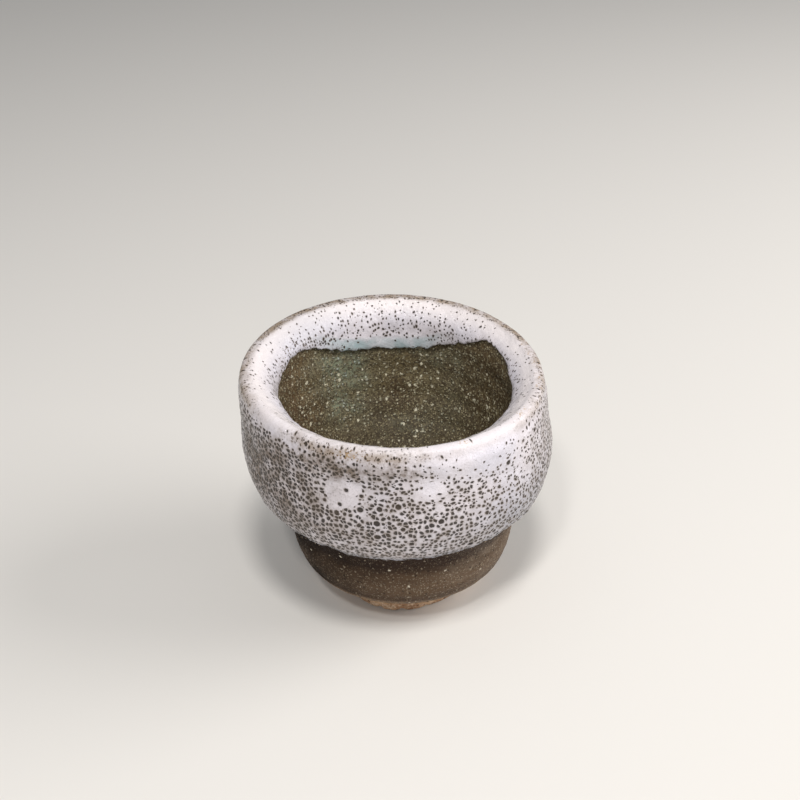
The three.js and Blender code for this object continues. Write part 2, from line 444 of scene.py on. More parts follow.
def makeGrit():
    # grains of sand or flecks in a coat, in the object's own space
    inputs = {"Vector": None, "Scale": 1500.0, "Amount": 0.3, "Size": 0.3}
    group, given, out = startGroup("grit", inputs, ["Grain"])
    # the place is shaken a little, so that no grain is a neat disc
    finer = times(group, given["Scale"], 2.2)
    reach = combine(group, "DIVIDE", 0.7, given["Scale"])
    values = {"Vector": shaken(group, given["Vector"], finer, reach), "Scale": given["Scale"]}
    cells = addNode(group, "ShaderNodeTexVoronoi", values).outputs
    parts = addNode(group, "ShaderNodeSeparateColor", {"Color": cells["Color"]}).outputs
    chosen = combine(group, "LESS_THAN", parts["Red"], given["Amount"])
    full = times(group, given["Size"], rangeOf(group, parts["Blue"], 0.0, 1.0, 0.65, 1.35))
    spot = rangeOf(group, cells["Distance"], times(group, full, 0.5), full, 1.0, 0.0)
    group.links.new(times(group, spot, chosen), out["Grain"])
    return group


pinholes = makePinholes()
grit = makeGrit()
print("shader groups ready")


def startMaterial(name):
    material = bpy.data.materials.new(name)
    material.use_nodes = True
    tree = material.node_tree
    shader = tree.nodes["Principled BSDF"]
    shader.location = (2400, 0)
    tree.nodes["Material Output"].location = (2700, 0)
    return material, tree, shader


def startFinish(name, settings):
    # a material with the colours, the noises and the kinds of grit that its piece's settings list
    material, tree, shader = startMaterial(name)
    shader.inputs["Specular IOR Level"].default_value = settings["specular"]
    place = addNode(tree, "ShaderNodeTexCoord").outputs["Object"]
    grains = {}
    for label, (scale, detail, rough, *squeeze) in settings["noises"].items():
        vector = place
        if squeeze:
            vector = addNode(tree, "ShaderNodeMapping", {"Vector": place, "Scale": squeeze[0]}).outputs[0]
        values = {"Vector": vector, "Scale": scale, "Detail": detail, "Roughness": rough}
        grains[label] = addNode(tree, "ShaderNodeTexNoise", values).outputs["Fac"]
    for label, (scale, amount, size) in settings["grits"].items():
        values = {"Vector": place, "Scale": scale, "Amount": amount, "Size": size}
        grains[label] = useGroup(tree, grit, values)["Grain"]
    colour = {label: srgb(*rgb) for label, rgb in settings["colours"].items()}
    return material, tree, shader, grains, colour


def endFinish(tree, shader, base, rough, height, bump):
    distance, strength = bump
    values = {"Height": height, "Distance": distance, "Strength": strength}
    feed(tree, base, shader.inputs["Base Color"])
    feed(tree, rough, shader.inputs["Roughness"])
    feed(tree, addNode(tree, "ShaderNodeBump", values).outputs["Normal"], shader.inputs["Normal"])


# Bare clay: foot ring, recess and the wall under the coats
clay = {
    "ringWidth": 3.8,
    "recess": 5.0,
    "boss": 0.6,
    "recessFillet": 0.9,
    "bevel": 0.4,
    "columns": 88,
    "fullness": 0.12,
    # how far the ring is pushed out: (degrees, spread, millimetres)
    "pushes": [(253, 18, 0.4), (300, 17, -0.3)],
    "lumps": 0.08,
    "fineLumps": 0.04,
    # chips along its lower edge: (degrees, depth, spread)
    "chips": [(266, 0.3, 3.0), (287, 0.22, 2.4), (248, 0.25, 2.1), (20, 0.4, 2.4), (130, 0.4, 3.0)],
    # (scale, detail, roughness) of each noise, and (scale, share of the places, size) of each kind of grit
    "noises": {"blotch": (260, 4, 0.55), "grainy": (1400, 3, 0.7)},
    "grits": {"flecks": (1500, 0.25, 0.42)},
    "colours": {
        "tan": (206, 171, 138), "brown": (156, 116, 85), "pale": (236, 214, 186), "dark": (90, 62, 42),
    },
    "roughness": 0.92,
    "specular": 0.25,
    "bump": (0.00035, 0.5),  # metres, strength
}


def clayRows():
    w = wall
    outer = w["footRadius"]
    inner = outer - clay["ringWidth"]
    top, boss, fillet, bevel = (clay[k] for k in ("recess", "boss", "recessFillet", "bevel"))
    rows = [
        (0.8, top - boss),
        (0.3 * inner, top - 0.75 * boss),
        (0.6 * inner, top),
        (inner - 1.5 * fillet, top),
        (inner - 0.5 * fillet, top - 0.6 * fillet),
        (inner - 0.1, 0.55 * top),
        (inner, 0.8),
        (inner + 0.3, 0.05),
        (inner + 0.7, 0.0),
        (outer - bevel - 0.5, 0.0),
        (outer - bevel, 0.02),
        (outer - 0.05, bevel),
        (outer + 0.12, 1.2),
        (outer + 0.5 * w["footFlare"], 0.5 * w["footHeight"]),
        (outer + w["footFlare"], w["footHeight"] - 0.6 * w["footFillet"]),
    ]
    stations = [*np.arange(0, crest - 2, 2.2), *np.linspace(crest - 1.5, crest + 5, 7)]
    stations += [*np.arange(crest + 7, wallEnd - 2, 3.4), wallEnd - 0.8]
    return rows + rowsOn(stations, 0.0)


def modelClay():
    piece = throwPiece("clayBody", clayRows(), clay["columns"], ring=False)
    angle, r, z = readPiece(piece)[:3]
    footPart = ease((wall["footHeight"] - z) / 1.5) * (r < wall["heelRadius"])
    outward = ease(r - wall["footRadius"] + 1.2)
    push = clay["fullness"] + clay["lumps"] * cloud(angle, z * 1.6, 2.4, 3)
    push = push + clay["fineLumps"] * cloud(angle, z * 3 + r, 0.8, 4)
    for centre, spread, reach in clay["pushes"]:
        push = push + reach * around(angle, centre, spread)
    r = r + footPart * outward * push
    low = ease((1.6 - z) / 1.6) * outward
    for centre, depth, spread in clay["chips"]:
        bite = around(angle, centre, spread) * low
        r = r - depth * bite
        z = z + 0.8 * depth * bite * ease((1.2 - z) / 1.2)
    placePiece(piece, r, angle, np.maximum(z, 0))
    return piece


def clayMaterial():
    material, tree, shader, grains, colour = startFinish("bareClay", clay)
    blotch = rangeOf(tree, grains["blotch"], 0.35, 0.65)
    base = mixColour(tree, blotch, colour["tan"], colour["brown"])
    coats = (
        (rangeOf(tree, grains["grainy"], 0.45, 0.7, 0, 0.75), colour["pale"]),
        (times(tree, grains["flecks"], 0.8), colour["dark"]),
    )
    base = layCoats(tree, base, coats)
    endFinish(tree, shader, base, clay["roughness"], grains["grainy"], clay["bump"])
    return material


# Dark slip on the outside
slip = {
    "seat": 0.12,
    "thickness": 0.25,
    "columns": 104,
    # shallow grooves from the trimming tool: (height, depth, half width); the upper ones climb in front
    "trimLines": [(18.9, 0.16, 0.4), (15.4, 0.07, 0.5), (11.6, 0.06, 0.45), (9.6, 0.05, 0.4)],
    "climb": 1.6,
    "climbAt": (312, 22),
    "ripples": [(0.07, 3.2, 5), (0.03, 0.9, 6)],
    # (height, reach) of the painted shade below the white edge and of the painted light on the hip's bulge
    "paintedShadeUnderGlazeAt": (15.2, 2.6),
    "hipAt": (12.4, 3.2),
    # (station, reach) of the worn heel line and of the painted shade under it
    "heelLineAt": (4.8, 0.5),
    "paintedShadeUnderHeelAt": (4.3, 0.5),
    # (degrees, spread) of the extra wear and of the painted shade on the left
    "wornAt": (236, 26),
    "thickAt": (210, 42),
    # (degrees, spread) and (height, reach) of the painted sheen at the right front
    "paintedSheenAt": ((312, 20), (15.5, 5.5)),
    # the last value squeezes a noise into level streaks
    "noises": {"streaks": (160, 5, 0.6, (1, 1, 5)), "blotch": (210, 4, 0.55), "grainy": (2100, 3, 0.75)},
    "grits": {
        "dust": (2800, 0.7, 0.44),
        "pale": (1500, 0.3, 0.3),
        "white": (900, 0.07, 0.24),
        "dark": (1700, 0.3, 0.45),
    },
    "colours": {
        "deepBrown": (58, 40, 28), "brown": (84, 64, 46), "blotch": (64, 47, 34), "hip": (114, 92, 71),
        "paintedSheen": (134, 120, 105), "paintedShadeUnderGlaze": (40, 22, 12), "thick": (20, 9, 4), "dark": (34, 24, 17),
        "dust": (154, 137, 115), "pale": (172, 156, 134), "white": (222, 212, 192), "wear": (160, 135, 108),
        "paintedShadeUnderHeel": (24, 15, 10),
    },
    "roughness": (0.4, 0.62),
    "rougherLeft": 0.3,
    "specular": 0.14,
    "bump": (0.00028, 0.7),
}


def slipRows():
    start, end = slip["seat"], crest - slip["seat"]
    visible = float(outsideAt(26))
    outer = [start, *np.linspace(start + 0.6, visible, 22), *np.linspace(visible + 2.5, end - 1.2, 7), end]
    inner = np.linspace(end, start, 9)
    return rowsOn(outer, slip["seat"] + slip["thickness"]) + rowsOn(inner, slip["seat"])


def modelSlip():
    piece = throwPiece("ironSlip", slipRows(), slip["columns"], ring=True)
    angle, r, z, s, lift = readPiece(piece)
    face = ease((lift - slip["seat"]) / slip["thickness"])
    wander = 0.35 * cloud(angle, s * 0 + 5, 12, 8)
    climb = slip["climb"] * around(angle, *slip["climbAt"])
    for height, depth, spread in slip["trimLines"]:
        lift = lift - face * depth * bell(z, height + wander + climb * ease((height - 14) / 5), spread)
    lift = lift + face * clouds(angle, s, slip["ripples"])
    r, z = onSkin(s, lift)
    placePiece(piece, r, angle, z)
    # painted shade: the slip darkens up towards the overhanging white edge; painted light: a lighter band on
    # the hip's bulge
    darkFrom, darkOver = slip["paintedShadeUnderGlazeAt"]
    paint(piece, "paintedShadeUnderGlaze", ease((z - darkFrom - wander) / darkOver))
    paint(piece, "hipLight", bell(z, *slip["hipAt"]))
    wear = 0.9 + 0.8 * cloud(angle, s, 1.6, 9) + 0.9 * around(angle, *slip["wornAt"])
    paint(piece, "heelWear", bell(s, *slip["heelLineAt"]) * wear)
    # painted shade on the heel's underside, a dark line over the bare foot ring
    shadeFrom, shadeOver = slip["paintedShadeUnderHeelAt"]
    paint(piece, "paintedShadeUnderHeel", ease((shadeFrom - s) / shadeOver))
    # painted shade on the left, the side turned away from the light
    thick = around(angle, *slip["thickAt"])
    paint(piece, "thickLeft", thick * (0.85 + 0.4 * cloud(angle, s, 5, 10)))
    # painted sheen: a lighter, greyer streaky patch at the right front, where the light falls
    across, up = slip["paintedSheenAt"]
    paintedSheen = around(angle, *across) * bell(z, *up)
    paint(piece, "paintedSheen", paintedSheen * (0.8 + 0.6 * cloud(angle, s, 3, 14)))
    return piece


def slipMaterial():
    material, tree, shader, grains, colour = startFinish("ironSlip", slip)
    # the painted light on the hip also brings out more of the light dust specks
    hip = painted(tree, "hipLight")
    thick = painted(tree, "thickLeft")
    dusty = times(tree, rangeOf(tree, hip, 0.0, 1.0, 0.3, 0.95), grains["dust"])
    # fewer light specks in the painted shade on the left
    dusty = times(tree, dusty, rangeOf(tree, thick, 0.0, 0.9, 1.0, 0.35))
    worn = rangeOf(tree, grains["grainy"], 0.35, 0.6)
    wear = times(tree, painted(tree, "heelWear"), worn)
    paintedSheenStreaks = rangeOf(tree, grains["streaks"], 0.4, 0.65, 0.15, 0.7)
    streaked = rangeOf(tree, grains["streaks"], 0.35, 0.68)
    base = mixColour(tree, streaked, colour["deepBrown"], colour["brown"])
    coats = (
        (rangeOf(tree, grains["blotch"], 0.4, 0.7, 0, 0.5), colour["blotch"]),
        # painted light on the hip
        (times(tree, hip, 0.68), colour["hip"]),
        # painted sheen at the right front
        (times(tree, painted(tree, "paintedSheen"), paintedSheenStreaks), colour["paintedSheen"]),
        # painted shade under the white edge
        (times(tree, painted(tree, "paintedShadeUnderGlaze"), 0.8), colour["paintedShadeUnderGlaze"]),
        # painted shade on the left
        (times(tree, thick, 0.92), colour["thick"]),
        (times(tree, grains["dark"], 0.6), colour["dark"]),
        (dusty, colour["dust"]),
        (times(tree, grains["pale"], 0.75), colour["pale"]),
        (grains["white"], colour["white"]),
        (times(tree, wear, 0.9), colour["wear"]),
        # painted shade under the heel
        (times(tree, painted(tree, "paintedShadeUnderHeel"), 0.9), colour["paintedShadeUnderHeel"]),
    )
    base = layCoats(tree, base, coats)
    rough = rangeOf(tree, grains["grainy"], 0.3, 0.7, *slip["roughness"])
    rough = combine(tree, "MULTIPLY_ADD", thick, slip["rougherLeft"], rough)
    height = combine(tree, "ADD", grains["pale"], grains["dust"])
    height = combine(tree, "MULTIPLY_ADD", grains["grainy"], 0.8, height)
    endFinish(tree, shader, base, rough, height, slip["bump"])
    return material


# Dark, sandy lining of the inside. Depths are millimetres along the skin past the crest of the rim.
lining = {
    "seat": 0.12,
    "thickness": 0.3,
    "columns": 96,
    "rings": 5.2,
    "ringDepth": 0.1,
    "waves": (0.14, 4.5, 11),
    "sandiness": (0.05, 0.9, 12),
    # greener places: (degrees, depth, half width, half height, amount, power if not 2)
    "greenPlaces": [(121, 16, 13, 9, 0.75, 4), (124, 21.5, 9, 2.5, 0.5), (86, 27, 17, 3, 0.5)],
    # the painted light band under the white edge, which lightens the shade there in the green colour: (depth,
    # half height, amount), and where it is strong and weak
    "paintedLightBand": (11.5, 3.2, 0.6),
    "paintedLightBandAt": ((122, 18), (66, 24)),
    "ruddyAt": (152, 17),
    "paintedShadeRightAt": (45, 40),
    "noises": {
        "blotch": (85, 4, 0.55),
        "green": (60, 2, 0.55),
        "grainy": (1500, 4, 0.75),
        "crust": (2300, 3, 0.7),
    },
    "grits": {
        "sand": (2500, 0.5, 0.5),
        "grains": (1450, 0.42, 0.4),
        "dots": (850, 0.3, 0.27),
        "dark": (2100, 0.55, 0.55),
    },
    "colours": {
        "darkOlive": (92, 74, 48), "olive": (120, 105, 73), "green": (142, 149, 125), "ruddy": (94, 64, 36),
        "paintedShadeDeep": (62, 51, 33), "hollows": (62, 49, 32), "crust": (158, 145, 110), "dark": (58, 45, 29),
        "sand": (186, 172, 138), "warmGrains": (212, 201, 168), "coolGrains": (206, 214, 202),
        "dots": (240, 233, 206),
    },
    "roughness": (0.45, 0.7),
    "specular": 0.4,
    "bump": (0.00045, 0.9),
}


def liningRows():
    start = crest + lining["seat"]
    under = [wallEnd - 0.9, *np.linspace(wallEnd - 8, start, 9)]
    over = [start, start + 1.5, *np.linspace(start + 4, wallEnd - 3, 24), wallEnd - 0.9]
    return rowsOn(under, lining["seat"]) + rowsOn(over, lining["seat"] + lining["thickness"])


def modelLining():
    piece = throwPiece("innerLining", liningRows(), lining["columns"], ring=False)
    angle, r, z, s, lift = readPiece(piece)
    face = ease((lift - lining["seat"]) / lining["thickness"])
    away = ease((wallEnd - s) / 6)
    rings = lining["ringDepth"] * np.sin(fullTurn * s / lining["rings"] + angle)
    lift = lift + face * away * (rings + clouds(angle, s, [lining["waves"]]))
    lift = lift + face * away * clouds(angle, s, [lining["sandiness"]])
    keep = wallEnd - s < 0.7
    newR, newZ = onSkin(s, lift)
    placePiece(piece, np.where(keep, r, newR), angle, np.where(keep, z, newZ))
    deep = s - crest
    strong, weak = (around(angle, *place) for place in lining["paintedLightBandAt"])
    bandDepth, bandReach, bandAmount = lining["paintedLightBand"]
    green = atPlaces(lining["greenPlaces"], angle, deep)
    # painted light: a green band under the white edge that offsets the shade the edge casts
    green = green + bandAmount * np.maximum(strong, 0.5 * weak) * bell(deep, bandDepth, bandReach)
    paint(piece, "greenAndPaintedLight", green * (0.75 + 0.9 * cloud(angle, s, 3, 13)))
    paint(piece, "ruddy", around(angle, *lining["ruddyAt"]) * ease((deep - 4) / 4) * ease((24 - deep) / 5))
    # painted shade: darker towards the bottom of the well, and more so on the right
    paintedShadeRight = 0.5 * around(angle, *lining["paintedShadeRightAt"]) * ease((deep - 13) / 8)
    paint(piece, "paintedShadeDeep", ease((deep - 17) / 14) + paintedShadeRight)
    return piece


def liningMaterial():
    material, tree, shader, grains, colour = startFinish("darkLining", lining)
    green = rangeOf(tree, grains["green"], 0.45, 0.7, 0, 0.35)
    # the greener places and the painted light band under the white edge
    green = combine(tree, "ADD", green, painted(tree, "greenAndPaintedLight"))
    blotch = rangeOf(tree, grains["blotch"], 0.38, 0.62)
    base = mixColour(tree, blotch, colour["darkOlive"], colour["olive"])
    cool = mixColour(tree, green, colour["warmGrains"], colour["coolGrains"])
    coats = (
        (green, colour["green"]),
        (times(tree, painted(tree, "ruddy"), 0.6), colour["ruddy"]),
        # painted shade deep in the well
        (times(tree, painted(tree, "paintedShadeDeep"), 0.6), colour["paintedShadeDeep"]),
        (rangeOf(tree, grains["grainy"], 0.42, 0.64, 0, 0.85), colour["hollows"]),
        (rangeOf(tree, grains["crust"], 0.5, 0.66, 0, 0.6), colour["crust"]),
        (times(tree, grains["dark"], 0.6), colour["dark"]),
        (times(tree, grains["sand"], 0.75), colour["sand"]),
        (times(tree, grains["grains"], 0.75), cool),
        (times(tree, grains["dots"], 0.95), colour["dots"]),
    )
    base = layCoats(tree, base, coats)
    rough = rangeOf(tree, grains["grainy"], 0.3, 0.7, *lining["roughness"])
    height = combine(tree, "ADD", grains["sand"], grains["grains"])
    height = combine(tree, "MULTIPLY_ADD", grains["grainy"], 0.6, height)
    endFinish(tree, shader, base, rough, height, lining["bump"])
    return material


# Thick white glaze over the rim. Places on it are given as degrees round the cup and as millimetres
# along the skin from the crest of the rim, minus on the outside and plus on the inside.
white = {
    "seat": 0.43,
    "onBelly": 1.05,
    "onRim": 0.5,
    "inside": 0.75,
    "outerBead": 0.62,
    "innerBead": 0.42,
    "columns": 150,
    "outerEdge": 23.9,
    "innerEdge": 40.6,
    "outerReach": 9.0,
    "innerReach": 7.0,
    # height of the lower edge on the outside, going round: (degrees, millimetres)
    "edge": [
        (0, 25.4), (20, 25.6), (45, 24.6), (70, 23.9), (95, 24.4), (120, 25.1), (145, 24.3), (170, 23.8),
        (195, 24.4), (224, 24.0), (236, 23.5), (243, 23.6), (249.5, 23.3), (261, 22.9), (269, 22.45),
        (277, 22.8), (284, 24.0), (292, 23.7), (301, 24.1), (310, 24.5), (319, 25.1), (328, 25.5),
        (345, 25.0),
    ],
    # height of its edge on the inside
    "brink": [
        (6, 42.2), (16, 42.8), (25, 43.1), (36, 43.6), (42, 42.6), (48, 41.4), (56, 40.3), (65, 39.3),
        (71, 38.0), (79, 37.5), (87, 37.3), (95, 37.2), (99, 37.9), (104, 37.3), (117, 38.1), (132, 40.4),
        (143, 41.8), (153, 42.0), (164, 41.3), (174, 40.3), (187, 39.1), (200, 39.2), (215, 40.6),
        (250, 41.5), (285, 41.0), (320, 41.8), (345, 41.6),
    ],
    # frills of both edges, swells of the face and fullness of the roll: (depth, size, seed)
    "frill": [(0.42, 2.6, 21), (0.27, 1.0, 22)],
    "innerFrill": [(0.34, 2.0, 23), (0.16, 0.8, 28)],
    "swells": [(0.16, 7, 24), (0.08, 2.4, 25), (0.05, 0.9, 26)],
    "rollSwell": (0.3, 3.0, 27),
    "rollDimples": (0.12, 0.8, 29),
    # the lip is thinnest at the front, fullest at the back, and has a thick roll inside on the left
    "lipBehind": 0.26,
    "lipThin": 0.3,
    "frontShoulder": (-2.7, 1.1, 0.2),  # millimetres, half height, fullness
    "leftRoll": [(201, 5.5, 15, 3.2, 0.75)],
    # how crowded the pinholes are along the skin: (millimetres, share of the places that have one)
    "crowdAlong": [
        (-23.5, 0.7), (-21.5, 0.95), (-19, 0.97), (-9, 0.97), (-5, 0.9), (-2.5, 0.7), (-1.2, 0.52),
        (0, 0.26), (1.5, 0.13), (3.5, 0.12), (6, 0.3), (9, 0.35), (12, 0.2),
    ],
    # places that have more or fewer: (degrees, millimetres, half width, half height, change)
    "crowdPlaces": [
        (252, -6.8, 7.2, 1.8, -1.5), (249, -9.4, 5.5, 2.1, -1.5), (281.5, -6.7, 5.2, 1.9, -1.15),
        (303, -4.0, 19, 3.4, -0.62), (318, -8.5, 11, 3.5, -0.3), (288, -1.6, 16, 2.0, -0.2),
        (308, -13, 16, 5, -0.14), (342, -7.0, 13, 9.0, 0.4), (222, -4.8, 34, 2.5, 0.4),
        (216, -0.8, 14, 0.9, -0.9), (95, 3.4, 36, 3.4, 0.4), (135, 5.2, 10, 1.2, 0.3),
        (60, 6.0, 11, 1.6, 0.5), (172, 5.0, 26, 2.0, 0.55), (10, 3.6, 26, 1.2, 0.4), (92, 8.8, 26, 1.4, -0.4),
    ],
    # radius of an ordinary pinhole along the skin, and places where it differs
    "holeAlong": [
        (-23.5, 0.26), (-20, 0.285), (-16, 0.285), (-9, 0.27), (-4, 0.245), (-1, 0.17), (0, 0.14),
        (3, 0.17), (10, 0.2),
    ],
    "holePlaces": [
        (214, -2.6, 17, 1.3, 0.05), (303, -4, 19, 3.4, -0.05), (268, -14, 28, 5.0, 0.03),
        (232, -13, 20, 6, 0.025), (216, -8, 33, 8.5, 0.09), (308, -14, 18, 6, -0.03),
        (335, -8, 18, 9, -0.03), (132, 5.6, 11, 1.3, 0.1), (93, 6.0, 12, 1.5, 0.06),
    ],
    # ordinary and fine pinholes: (cell, share of the ordinary radius, share of the crowd)
    "holeSets": [(0.82, 0.9, 1.0), (0.47, 0.42, 0.22)],
    "craters": 44,
    # the first of them: (degrees, millimetres past the crest, radius)
    "cratersAt": [
        (252.3, -7.4, 0.36), (257.5, -8.2, 0.34), (249.5, -10.6, 0.36), (284, -13.3, 0.5), (262, -16, 0.55),
    ],
    "craterSeed": 41,
    "craterDepth": 0.3,
    "craterGap": 0.5,
    "cupRadius": 27,  # turns degrees into millimetres where a place on the mesh is looked up
    "mapRadius": 26.0,
    # the worn line along the crest is fainter at these places: (degrees, spread, share lost)
    "brimGaps": [(304, 30, 0.85), (219, 13, 0.8)],
    # rusty spots on the crest
    "goldPlaces": [
        (255, -0.9, 5.0, 0.5, 1.0),
        *(
            (degrees, past, 1.9, 0.4, 0.85)
            for degrees, past in (
                (296, 0.1), (324, 0.1), (329, -0.2), (346, -0.2), (353, -0.1), (3, 0.1), (10, 0.2), (17, 0.3),
            )
        ),
    ],
    # where the glaze is thin, and at 211 degrees on the left painted shade as well: (degrees, millimetres,
    # half width, half height, power) and how much it is so steadily, with broad noise and with fine noise
    "thinAndShadePlaces": [
        (249, -3.3, 19, 2.1, 2, 0.675, 0.375, 0.375),
        (272, -3.0, 9, 1.4, 2, 0.5525, 0.0, 0.39),
        (211, -11, 38, 8.5, 4, 0.8075, 0.475, 0.0),
        (345, -9, 16, 8, 4, 0.35, 0.0, 0.0),
    ],
    # teal runs at the inner edge: (degrees, spread, amount)
    "tealRuns": [(115, 15, 1.0), (79, 13, 1.0)],
    "tealBetween": (97, 14, 0.55),
    # bluish places away from the edges; the one at 138 degrees, inside the left back, is painted shade
    "coolAndShadePlaces": [(318, -17, 24, 6, 0.75), (300, -4.5, 15, 2.5, 0.25), (138, 3, 25, 3.5, 0.45)],
    "noises": {
        "veil": (420, 5, 0.65),
        "milky": (120, 3, 0.55),
        "mottle": (3300, 3, 0.7),
        "ripple": (2600, 3, 0.75),
    },
    "grits": {"specks": (2300, 0.62, 0.5)},
    "colours": {
        "warm": (241, 234, 239), "cool": (230, 226, 235), "mottle": (166, 158, 154),
        "dense": (190, 181, 182), "lip": (242, 232, 228), "poolAndShade": (142, 146, 158), "teal": (171, 188, 190),
        "halo": (142, 128, 114), "thinAndShade": (122, 107, 94), "tan": (140, 117, 86), "brownSpecks": (72, 56, 39),
        "gold": (188, 158, 120), "fray": (92, 74, 54), "deepHole": (36, 28, 21), "hole": (62, 51, 39),
    },
    "roughness": (0.1, 0.22),
    "specular": 0.42,
    "bump": (0.00022, 0.9),
}


def roundTheCup(points, angle):
    # a smooth closed line through heights at given angles
    degrees, heights = np.array(points, float).T
    fine = np.arange(0, 360, 1.0)
    rough = np.interp(fine, degrees, heights, period=360)
    kernel = np.exp(-((np.arange(-9, 10) / 3.0) ** 2))
    kernel /= kernel.sum()
    smooth = np.convolve(np.concatenate([rough[-9:], rough, rough[:9]]), kernel, mode="valid")
    return np.interp(np.degrees(angle) % 360, fine, smooth, period=360)


def alongSkin(points, past):
    return np.interp(past, [p[0] for p in points], [p[1] for p in points])


def whiteThickness(s, outer, inner):
    waist = outsideAt(wall["waistHeight"])
    body = white["onBelly"] + (white["onRim"] - white["onBelly"]) * ease((s - waist) / (crest - waist))
    body = body + (white["inside"] - body) * ease((s - crest) / 6)
    outerFull, innerFull = 2 * white["outerBead"], 2 * white["innerBead"]
    atOuter = outerFull + (body - outerFull) * ease((s - outer) / 4)
    return innerFull + (atOuter - innerFull) * ease((inner - s) / 3)


def beadRows(s, radius, direction):
    # half round an edge, from the wall up to the face, or down again with direction -1
    turns = [math.pi * i / 4 for i in range(5)]
    return [
        onSkin(s - direction * radius * math.sin(t), white["seat"] + radius * (1 - direction * math.cos(t)))
        for t in turns
    ]


def whiteRows():
    outer = float(outsideAt(white["outerEdge"])) + white["outerBead"]
    inner = float(insideAt(white["innerEdge"])) - white["innerBead"]
    arris = crest - 0.5
    stations = [*np.linspace(outer, arris - 2.4, 17)[1:], *np.linspace(arris - 1.5, arris + 2.0, 5)]
    stations += [*np.linspace(arris + 3.0, inner, 6)[:-1]]
    rows = beadRows(outer, white["outerBead"], 1)
    rows += [onSkin(s, white["seat"] + whiteThickness(s, outer, inner)) for s in stations]
    rows += beadRows(inner, white["innerBead"], -1)
    rows += [onSkin(s, white["seat"]) for s in np.linspace(inner, outer, 5)[1:-1]]
    return [(float(r), float(z)) for r, z in rows]


def modelWhite():
    piece = throwPiece("whiteGlaze", whiteRows(), white["columns"], ring=True)
    angle, r, z, s, lift = readPiece(piece)
    outer = float(outsideAt(white["outerEdge"]))
    inner = float(insideAt(white["innerEdge"]))
    edgeOut = outsideAt(roundTheCup(white["edge"], angle))
    edgeIn = insideAt(roundTheCup(white["brink"], angle))
    frill = clouds(angle, 0 * s + 30, white["frill"])
    innerFrill = clouds(angle, 0 * s + 60, white["innerFrill"])
    atOuter = 1 - ease((s - outer) / white["outerReach"])
    atInner = 1 - ease((inner - s) / white["innerReach"])
    face = ease((lift - white["seat"]) / 0.35)
    # smoothing has drawn the coat in over the sharp rim, so it gets its fullness back
    middle = ease((s - outer - 0.8) / 1.2) * ease((inner - s - 0.8) / 1.2)
    lift = lift + face * middle * (white["seat"] + whiteThickness(s, outer, inner) - lift)
    s = s + (edgeOut - outer + frill) * atOuter + (edgeIn - inner + innerFrill) * atInner
    past = s - crest
    # a hand-dipped coat: broad swells, small dimples, and a roll of uneven fullness along the lower edge
    swell = clouds(angle, s, white["swells"]) * (0.45 + 0.55 * ease(np.abs(past) / 3))
    front = around(angle, 270, 42)
    shoulder, reach, fullness = white["frontShoulder"]
    swell = swell + fullness * front * bell(past, shoulder, reach)
    lip = ease((past + 3.2 - 1.0 * front) / (1.6 + 0.1 * front)) * ease((5.5 - past) / 2.5)
    behind = white["lipBehind"] * around(angle, 88, 68)
    swell = swell + lip * (behind - white["lipThin"] * (1 - 0.95 * around(angle, 100, 82)))
    swell = swell + atPlaces(white["leftRoll"], angle, past)
    roll = clouds(angle, 0 * s + 30, [white["rollSwell"]]) + clouds(angle, s, [white["rollDimples"]])
    lift = lift + face * (swell + atOuter**3 * roll)
    crater = dentCraters(angle, s, lift, face)
    lift = lift - white["craterDepth"] * face * ease((crater - 0.35) / 0.5)
    r, z = onSkin(s, lift)
    placePiece(piece, r, angle, z)
    unroll(piece, angle, s)
    paint(piece, "crater", crater)
    paint(piece, "crowd", crowding(angle, past))
    paint(piece, "hole", alongSkin(white["holeAlong"], past) + atPlaces(white["holePlaces"], angle, past))
    paint(piece, "front", 0.5 - 6 * np.sin(angle))
    paintWhite(piece, angle, s, past, edgeOut, edgeIn)
    return piece


def crowding(angle, past):
    return alongSkin(white["crowdAlong"], past) + atPlaces(white["crowdPlaces"], angle, past)


def dentCraters(angle, s, lift, face):
    # the larger holes are real dents, scattered so that none touches another; the value falls from 1
    # inside a dent through 0.5 on its brim to 0 further out. A place is drawn on the skin and not among
    # the mesh's points, because their order isn't the same in each run.
    dice = random.Random(white["craterSeed"])
    r, z = onSkin(s, lift)
    tree = makeTree(np.stack([r * np.cos(angle), r * np.sin(angle), z], 1))
    flat = makeTree(np.stack([angle % fullTurn * white["cupRadius"], s - crest, 99 * (face < 0.95)], 1))
    made = []

    def dent(turn, past, size):
        near = flat.find((turn * white["cupRadius"], past, 0))[1]
        r, z = onSkin(crest + past, lift[near])
        centre = Vector((r * math.cos(turn), r * math.sin(turn), z))
        if all((centre - c).length >= size + other + white["craterGap"] for c, other in made):
            made.append((centre, size))

    for degrees, past, size in white["cratersAt"]:
        dent(math.radians(degrees), past, size)
    lowest, highest = float(outsideAt(25.5)) - crest, -3
    tries = 0
    while len(made) < white["craters"] and tries < 5000:
        tries += 1
        turn, past = fullTurn * dice.random(), dice.uniform(lowest, highest)
        if dice.random() > crowding(np.array([turn]), np.array([past]))[0] - 0.1:
            continue
        low = 1 - float(ease((past + 17) / 10))
        dent(turn, past, 0.36 + 0.08 * dice.random() + 0.24 * low * dice.random() ** 2)
    value = np.zeros(len(r))
    for centre, size in made:
        for point, index, distance in tree.find_range(centre, size + 0.45):
            if face[index] > 0.5:
                value[index] = max(value[index], 0.5 + (size - distance) / 0.9)
    print("craters dented:", len(made))
    return np.clip(value, 0, 1)


